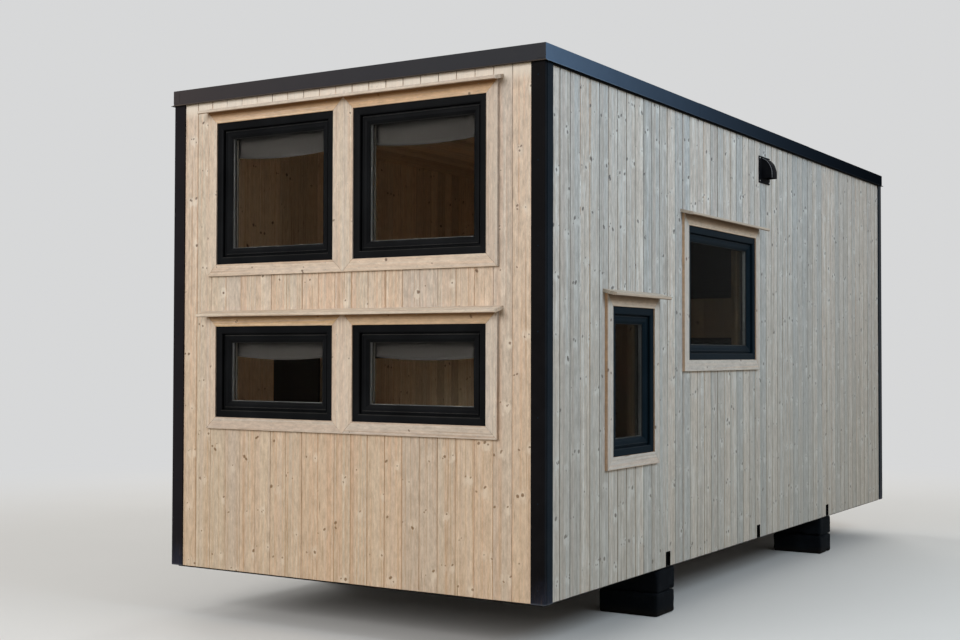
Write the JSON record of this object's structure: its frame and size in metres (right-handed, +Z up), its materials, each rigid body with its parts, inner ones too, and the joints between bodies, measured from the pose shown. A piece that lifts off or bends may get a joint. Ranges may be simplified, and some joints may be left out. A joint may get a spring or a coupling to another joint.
{
  "type": "flat-roofed tiny house set down on block piers",
  "caption": "Small flat-roofed timber cabin with board cladding, black trims and black-framed windows, standing on block piers.",
  "frame": {"origin": "on the ground below the middle of the house", "axes": "+Z up, +Y along the house away from the end wall with four windows, +X towards the long wall with the vent"},
  "size_m": [2.66, 6.15, 3.073],
  "materials": {
    "timber_frame": "sawn framing timber with insulation between",
    "end_cladding_wood": "untreated knotty spruce boards, warm and pale",
    "side_cladding_wood": "untreated knotty spruce boards, greyer",
    "trim_wood": "smooth planed spruce",
    "lining_wood": "brown upright boards",
    "floor_wood": "oiled boards",
    "black_metal": "black powder coat, satin",
    "black_frame": "black coated window profiles",
    "base_steel": "black painted steel",
    "roof_rubber": "dark roofing sheet",
    "window_glass": "clear sealed glazing",
    "blind_cloth": "grey woven roller cloth",
    "handle_metal": "satin",
    "vent_plastic": "black moulded",
    "block_concrete": "dark grey block, rough"
  },
  "bodies": {
    "root": {"front_wall": "timber_frame", "rear_wall": "timber_frame", "right_wall": "timber_frame", "left_wall": "timber_frame", "front_cladding": "end_cladding_wood", "rear_cladding": "end_cladding_wood", "right_cladding": "side_cladding_wood", "left_cladding": "side_cladding_wood", "end_linings": "lining_wood", "side_linings": "lining_wood", "floor_cassette": "timber_frame", "floorboards": "floor_wood", "cross_tubes": "base_steel", "side_rails": "base_steel", "end_rails": "base_steel", "right_piers": "block_concrete", "left_piers": "block_concrete", "roof_deck": "timber_frame", "roof_sheet": "roof_rubber", "ceiling": "lining_wood", "end_roof_caps": "black_metal", "side_roof_caps": "black_metal", "corner_trims": "black_metal", "front_window_frames": "black_frame", "front_sashes": "black_frame", "front_glass": "window_glass", "rear_window_frames": "black_frame", "rear_sashes": "black_frame", "rear_glass": "window_glass", "right_window_frames": "black_frame", "right_sashes": "black_frame", "right_glass": "window_glass", "left_window_frames": "black_frame", "left_sashes": "black_frame", "left_glass": "window_glass", "front_casings": "trim_wood", "rear_casings": "trim_wood", "right_casings": "trim_wood", "left_casings": "trim_wood", "front_hoods": "trim_wood", "rear_hoods": "trim_wood", "right_hoods": "trim_wood", "left_hoods": "trim_wood", "front_blinds": "blind_cloth", "rear_blinds": "blind_cloth", "left_blinds": "blind_cloth", "door_frame": "black_frame", "door_leaf": "black_frame", "door_glass": "window_glass", "door_handles": "handle_metal", "wall_vent": "vent_plastic"}
  },
  "joints": []
}
